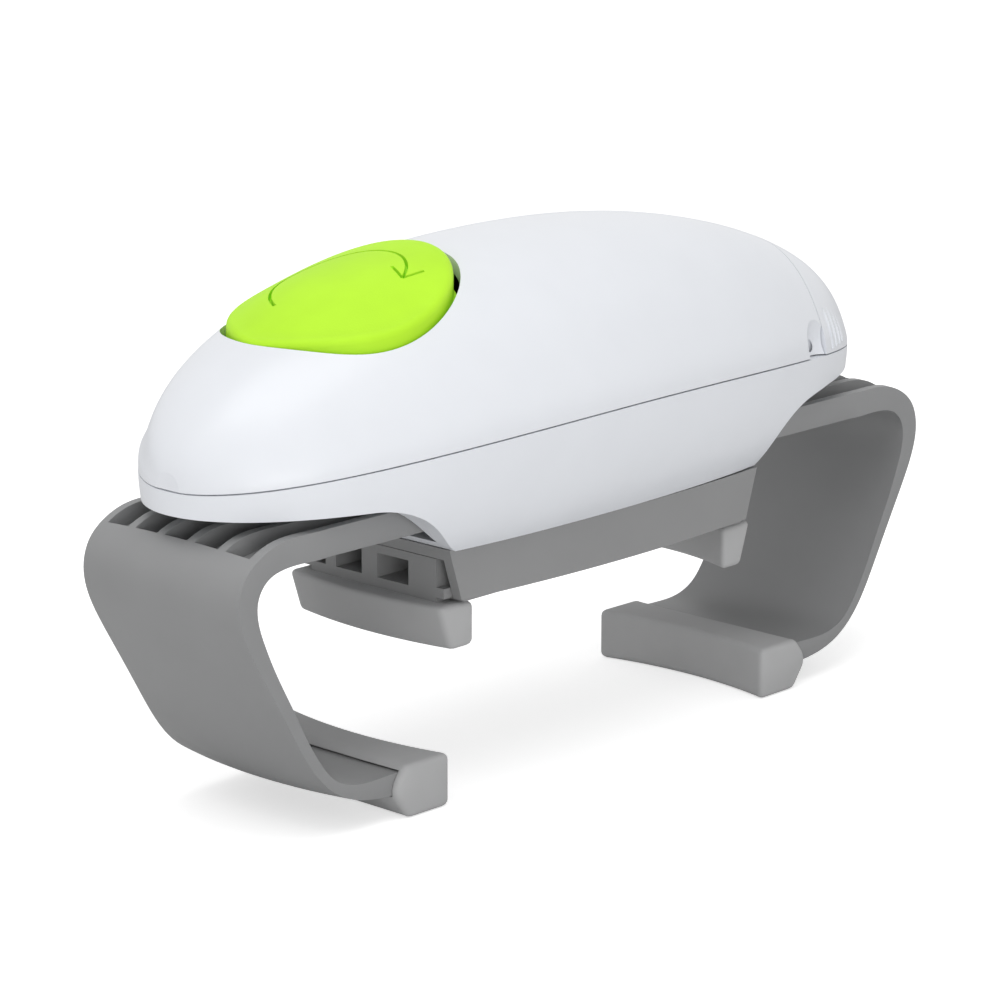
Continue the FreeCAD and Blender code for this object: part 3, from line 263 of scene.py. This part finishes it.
# ---- Button ----
# One big thumb button in lime green, with a spark-eroded matte skin and the sign for turning sunk
# into its top. Its skirt's lip is held under the upper shell's rim, and it stands on a coil spring.
GREEN = (0.50, 0.89, 0.03)
LIME_SPECULAR = 0.25
BUTTON_CENTRE = -54.5 * MM
BUTTON_BACK = 23.8 * MM
BUTTON_FRONT = 22.5 * MM
BUTTON_HALF = 21.2 * MM
TIP_POWER = 1.22
BUTTON_WALL = 1.8 * MM
BUTTON_CROWN = 2.4 * MM
BUTTON_LIP = 1.4 * MM
LIP_HEIGHT = 1.2 * MM
LIP_START = 0.6
LIP_FADE = 6.0
RIM_RADIUS = 1.8 * MM
RIM_STEPS = 5
CROWN_RINGS = 12
TIP_DROP = 2.8 * MM
RIM_DROP = 1.5 * MM
HIGH_UP = 0.2
CEILING_SHARES = (0.66, 0.33)
LIP_LEAST = 0.05

lime = moulded("lime_green", GREEN, 0.6, 0.00035, 0.00003, 0.03)
lime.node_tree.nodes["Principled BSDF"].inputs["Specular IOR Level"].default_value = LIME_SPECULAR
solid_button = merged_copy("button", "button_solid")


def button_edge(angle, grow):
    """A place on the button's egg-shaped outline, grown or shrunk."""
    reach = BUTTON_BACK if math.cos(angle) > 0 else BUTTON_FRONT
    power = 1.0 if math.cos(angle) > 0 else TIP_POWER
    across = math.copysign(abs(math.sin(angle)) ** power, math.sin(angle))
    return BUTTON_CENTRE + (reach + grow) * math.cos(angle), (BUTTON_HALF + grow) * across


def button_top(x, y):
    """Height of the button's crown, lower towards its rim and its tip."""
    _, place, _, _ = solid_button.ray_cast(Vector((x, y, HIGH_UP)), Vector((0, 0, -1)))
    towards_tip = max(0.0, (BUTTON_CENTRE - x) / BUTTON_FRONT)
    return place.z - TIP_DROP * towards_tip ** 2 - RIM_DROP * (y / BUTTON_HALF) ** 2


def lip_foot(angle):
    """Height of the lip's underside, read from below."""
    x, y = button_edge(angle, BUTTON_LIP / 2)
    _, place, _, _ = solid_button.ray_cast(Vector((x, y, 0)), Vector((0, 0, 1)))
    return place.z


def button_rings(angle):
    """The button's section at one angle, from the middle of its crown over the rim to its ceiling."""
    rim_x, rim_y = button_edge(angle, -RIM_RADIUS)
    rim_z = button_top(rim_x, rim_y)
    rings = []
    for step in range(1, CROWN_RINGS):
        share = step / CROWN_RINGS
        x = BUTTON_CENTRE + (rim_x - BUTTON_CENTRE) * share
        rings.append((x, rim_y * share, button_top(x, rim_y * share)))
    for step in range(RIM_STEPS + 1):
        turn = math.pi / 2 * step / RIM_STEPS
        x, y = button_edge(angle, -RIM_RADIUS * (1 - math.sin(turn)))
        rings.append((x, y, rim_z - RIM_RADIUS * (1 - math.cos(turn))))
    foot = lip_foot(angle)
    share = LIP_FADE * (abs(math.sin(angle)) - LIP_START)
    lip = BUTTON_LIP * min(1.0, max(LIP_LEAST, share))
    for grow, z in ((0, foot + LIP_HEIGHT), (lip, foot + LIP_HEIGHT), (lip, foot),
                    (-BUTTON_WALL, foot), (-BUTTON_WALL, rim_z - BUTTON_CROWN)):
        rings.append((*button_edge(angle, grow), z))
    wall_x, wall_y = button_edge(angle, -BUTTON_WALL)
    for share in CEILING_SHARES:
        x = BUTTON_CENTRE + (wall_x - BUTTON_CENTRE) * share
        rings.append((x, wall_y * share, button_top(x, wall_y * share) - BUTTON_CROWN))
    return rings


BUTTON_SEGMENTS = 96
ring_count = len(button_rings(0)) + 1
bpy.ops.object.select_all(action="DESELECT")
bpy.ops.mesh.primitive_uv_sphere_add(segments=BUTTON_SEGMENTS, ring_count=ring_count, radius=1)
thumb_button = bpy.context.object
thumb_button.name = "thumb_button"
turns = [2 * math.pi * segment / BUTTON_SEGMENTS for segment in range(BUTTON_SEGMENTS)]
sections = [button_rings(turn) for turn in turns]
crown_z = button_top(BUTTON_CENTRE, 0)
for vertex in thumb_button.data.vertices:
    x, y, z = vertex.co
    ring = round(math.acos(max(-1, min(1, z))) / math.pi * ring_count)
    if ring in (0, ring_count):
        vertex.co = (BUTTON_CENTRE, 0, crown_z - (BUTTON_CROWN if ring else 0))
    else:
        segment = round(math.atan2(y, x) / (2 * math.pi) * BUTTON_SEGMENTS) % BUTTON_SEGMENTS
        vertex.co = sections[segment][ring - 1]

ARROW_SHARE = 0.60
ARROW_ENDS = (158, -62)
ARROW_STEPS = 44
ARROW_LINE = 0.32 * MM
ARROW_DEPTH = 1.4 * MM
ARROW_RISE = 1.0 * MM
HEAD_LENGTH = 5.2 * MM
HEAD_SPREAD = 38
HEAD_SHARES = (0, 0.25, 0.5, 0.75, 1)


def groove(name, path):
    """An upright blade that follows the crown, to sink a line into it."""
    bpy.ops.object.select_all(action="DESELECT")
    bpy.ops.mesh.primitive_grid_add(x_subdivisions=len(path) - 1, y_subdivisions=1, size=2)
    blade = bpy.context.object
    blade.name = name
    bpy.ops.object.mode_set(mode="EDIT")
    bpy.ops.mesh.select_all(action="SELECT")
    bpy.ops.mesh.extrude_region_move(TRANSFORM_OT_translate={"value": (0, 0, 2)})
    bpy.ops.object.mode_set(mode="OBJECT")
    for vertex in blade.data.vertices:
        step = round((vertex.co.x + 1) / 2 * (len(path) - 1))
        before, after = path[max(step - 1, 0)], path[min(step + 1, len(path) - 1)]
        along = (Vector(after) - Vector(before)).normalized()
        x, y = Vector(path[step]) + Vector((-along.y, along.x)) * ARROW_LINE * vertex.co.y
        rise = ARROW_RISE if vertex.co.z > 1 else -ARROW_DEPTH
        vertex.co = (x, y, button_top(x, y) + rise)
    bpy.ops.object.mode_set(mode="EDIT")
    bpy.ops.mesh.select_all(action="SELECT")
    bpy.ops.mesh.normals_make_consistent(inside=False)
    bpy.ops.object.mode_set(mode="OBJECT")
    return blade


def arrow_place(degrees):
    """A place on the arrow's sweep, which runs inside the button's outline."""
    x, y = button_edge(math.radians(degrees), 0)
    return BUTTON_CENTRE + (x - BUTTON_CENTRE) * ARROW_SHARE, y * ARROW_SHARE


first, last = ARROW_ENDS
sweep = [arrow_place(first + (last - first) * step / ARROW_STEPS) for step in range(ARROW_STEPS + 1)]
tip = Vector(sweep[-1])
back = (Vector(sweep[-3]) - tip).normalized()
lines = [sweep]
for side in (-1, 1):
    turn = math.radians(side * HEAD_SPREAD)
    barb = Vector((back.x * math.cos(turn) - back.y * math.sin(turn),
                   back.x * math.sin(turn) + back.y * math.cos(turn)))
    lines.append([tuple(tip + barb * HEAD_LENGTH * share) for share in HEAD_SHARES])
for number, run in enumerate(lines):
    cut_by(thumb_button, groove(f"arrow_line_{number}", run))
bpy.data.objects.remove(solid_button)
placed(thumb_button, "button", "button", lime)

# ---- Arms, lid housing and jaws ----
# Glass-filled nylon in mid grey with a dull even skin: both C-shaped arms, the turntable's housing
# with its rails, and the two lid jaws. The arms' edges are softened as the mould leaves them.
ARM_GREY = (0.26, 0.262, 0.265)
FRAME_GREY = (0.275, 0.276, 0.278)
arm_nylon = moulded("arm_grey_nylon", ARM_GREY, 0.5, 0.0003, 0.00001, 0.02)
frame_nylon = moulded("frame_grey_nylon", FRAME_GREY, 0.5, 0.0003, 0.00001, 0.02)
ARM_EDGE = 0.6 * MM
for end in ("front", "rear"):
    arm = merged_copy(f"{end}_arm", f"{end}_bowed_arm")
    applied(arm, "BEVEL", width=ARM_EDGE, segments=3, limit_method="ANGLE",
            angle_limit=math.radians(60))
    placed(arm, f"{end}_arm", f"{end}_arm", arm_nylon)
dress(frame_nylon, "turntable_housing", "turntable_retainer", "turntable_spindle", "jaw_rails",
      "front_jaw", "rear_jaw")

# ---- Pads ----
# Soft rubbery pads in light grey, moulded over the tongues of the arms and the carriers of the jaws.
# Their gripping faces are hollow, to hold round a jar or a lid, and all their edges are rounded.
PAD_GREY = (0.44, 0.442, 0.445)
rubber = moulded("pad_rubber", PAD_GREY, 0.7, 0.0004, 0.00003, 0.03)
JAR_PAD_HALF = 23.2 * MM
JAR_PAD_FACE = 47.4 * MM
JAR_PAD_HOLLOW = 3.0 * MM
JAR_PAD_TOP = 10.9 * MM
JAR_PAD_SECTION = ((JAR_PAD_FACE, 0), (58.6 * MM, 0), (62.2 * MM, 5.0 * MM), (61.8 * MM, 7.6 * MM),
                   (59.3 * MM, JAR_PAD_TOP), (JAR_PAD_FACE, JAR_PAD_TOP))
JAR_PAD_NEAR = 48.4 * MM
JAR_PAD_STEPS = 24
JAR_PAD_ROUND = 1.6 * MM
SLOT_PLAY = 0.35 * MM


def jar_pad(end, sign):
    """One jar pad: a soft shoe pushed over the arm's tongue, hollow towards the jar."""
    bpy.ops.object.select_all(action="DESELECT")
    bpy.ops.mesh.primitive_circle_add(vertices=len(JAR_PAD_SECTION), fill_type="NGON")
    pad = bpy.context.object
    pad.name = f"{end}_jar_grip"
    for vertex, (reach, height) in zip(pad.data.vertices, JAR_PAD_SECTION):
        vertex.co = (sign * reach, -JAR_PAD_HALF, height)
    bpy.ops.object.mode_set(mode="EDIT")
    bpy.ops.mesh.select_all(action="SELECT")
    step = 2 * JAR_PAD_HALF / JAR_PAD_STEPS
    for _ in range(JAR_PAD_STEPS):
        bpy.ops.mesh.extrude_region_move(TRANSFORM_OT_translate={"value": (0, step, 0)})
    bpy.ops.mesh.select_all(action="SELECT")
    bpy.ops.mesh.normals_make_consistent(inside=False)
    bpy.ops.object.mode_set(mode="OBJECT")
    for vertex in pad.data.vertices:
        if abs(vertex.co.x) < JAR_PAD_NEAR:
            vertex.co.x += sign * JAR_PAD_HOLLOW * (1 - (vertex.co.y / JAR_PAD_HALF) ** 2)
    applied(pad, "BEVEL", width=JAR_PAD_ROUND, segments=4, limit_method="ANGLE",
            angle_limit=math.radians(28))
    for rise in (-SLOT_PLAY, 0, SLOT_PLAY):
        tongue = merged_copy(f"{end}_arm", f"{end}_tongue")
        tongue.data.transform(Matrix.Translation((0, 0, rise)))
        cut_by(pad, tongue)
    placed(pad, f"{end}_arm", f"{end}_jar_pad", rubber)


LID_PAD_HALF = 21.4 * MM
LID_PAD_TOP = 39.5 * MM
LID_PAD_FOOT = 30.4 * MM
LID_OUTER = {"front": 47.8 * MM, "rear": 45.2 * MM}
LID_OUTER_BULGE = 2.4 * MM
LID_TAPER = 3.0 * MM
LID_INNER = {"front": 38.6 * MM, "rear": 36.2 * MM}
LID_INNER_HOLLOW = 4.2 * MM
LID_PAD_ROUND = 1.3 * MM
LID_PAD_STEPS = 24


def lid_pad(end, sign):
    """One lid pad: hollow towards the lid, bowed outwards, and narrower at its foot."""
    height = LID_PAD_TOP - LID_PAD_FOOT
    bpy.ops.object.select_all(action="DESELECT")
    bpy.ops.mesh.primitive_grid_add(x_subdivisions=1, y_subdivisions=LID_PAD_STEPS, size=2)
    pad = bpy.context.object
    pad.name = f"{end}_lid_grip"
    bpy.ops.object.mode_set(mode="EDIT")
    bpy.ops.mesh.select_all(action="SELECT")
    bpy.ops.mesh.extrude_region_move(TRANSFORM_OT_translate={"value": (0, 0, height)})
    bpy.ops.mesh.select_all(action="SELECT")
    bpy.ops.mesh.normals_make_consistent(inside=False)
    bpy.ops.object.mode_set(mode="OBJECT")
    for vertex in pad.data.vertices:
        along = vertex.co.y
        top = vertex.co.z > height / 2
        if vertex.co.x > 0:
            reach = LID_OUTER[end] + LID_OUTER_BULGE * (1 - along ** 2) - (0 if top else LID_TAPER)
        else:
            reach = LID_INNER[end] + LID_INNER_HOLLOW * (1 - along ** 2)
        vertex.co = (sign * reach, LID_PAD_HALF * along, LID_PAD_TOP if top else LID_PAD_FOOT)
    if sign < 0:
        bpy.ops.object.mode_set(mode="EDIT")
        bpy.ops.mesh.select_all(action="SELECT")
        bpy.ops.mesh.normals_make_consistent(inside=False)
        bpy.ops.object.mode_set(mode="OBJECT")
    applied(pad, "BEVEL", width=LID_PAD_ROUND, segments=4, limit_method="ANGLE",
            angle_limit=math.radians(40))
    placed(pad, f"{end}_jaw", f"{end}_lid_pad", rubber)


for end, sign in (("front", -1), ("rear", 1)):
    jar_pad(end, sign)
    lid_pad(end, sign)

# ---- Gears and inner mouldings ----
# Gears, racks and the turntable's bush in natural acetal, slightly waxy, and a deck and bridge in
# unpainted ABS that carry the gear train. All are moulded, and the deck is screwed into the casing.
acetal = moulded("natural_acetal", (0.78, 0.77, 0.72), 0.35, 0.0002, 0.000002)
inner_abs = moulded("inner_abs", (0.62, 0.63, 0.64), 0.5, 0.0003, 0.00001)
dress(acetal, "first_gear", "second_gear", "turntable_gear", "arm_pinion", "jaw_pinion",
      "front_rack", "rear_rack", "spindle_bush")
dress(inner_abs, "gear_deck", "gear_bridge", "switch_plunger")

# ---- Metal, board and cells ----
# Turned steel shafts and screws, coiled steel springs and a brass pinion pressed on the motor's shaft.
# The board carries the switch, and two jacketed cells lie in a black tray.


def metal(name, colour, roughness):
    """A turned or drawn metal with fine marks round its surface."""
    material = moulded(name, colour, roughness, 0.0002, 0.000003, 0.05)
    material.node_tree.nodes["Principled BSDF"].inputs["Metallic"].default_value = 1.0
    return material


steel = metal("bright_steel", (0.60, 0.60, 0.61), 0.3)
brass = metal("brass", (0.76, 0.58, 0.28), 0.3)
board_green = moulded("board_green", (0.02, 0.16, 0.06), 0.35, 0.0004, 0.000004)
switch_black = moulded("switch_black", (0.03, 0.03, 0.03), 0.45, 0.0003, 0.000006)
cell_jacket = moulded("cell_jacket", (0.05, 0.16, 0.34), 0.3, 0.0005, 0.000002)
dress(steel, "clutch_disc", "case_screws", "deck_screws", "retainer_screws", "gear_axles",
      "motor_shaft", "motor", "centre_shaft", "button_spring", "cell_contacts", "cover_contact")
dress(brass, "motor_pinion")
dress(board_green, "circuit_board")
dress(switch_black, "push_switch", "battery_tray")
dress(cell_jacket, "battery_cells")
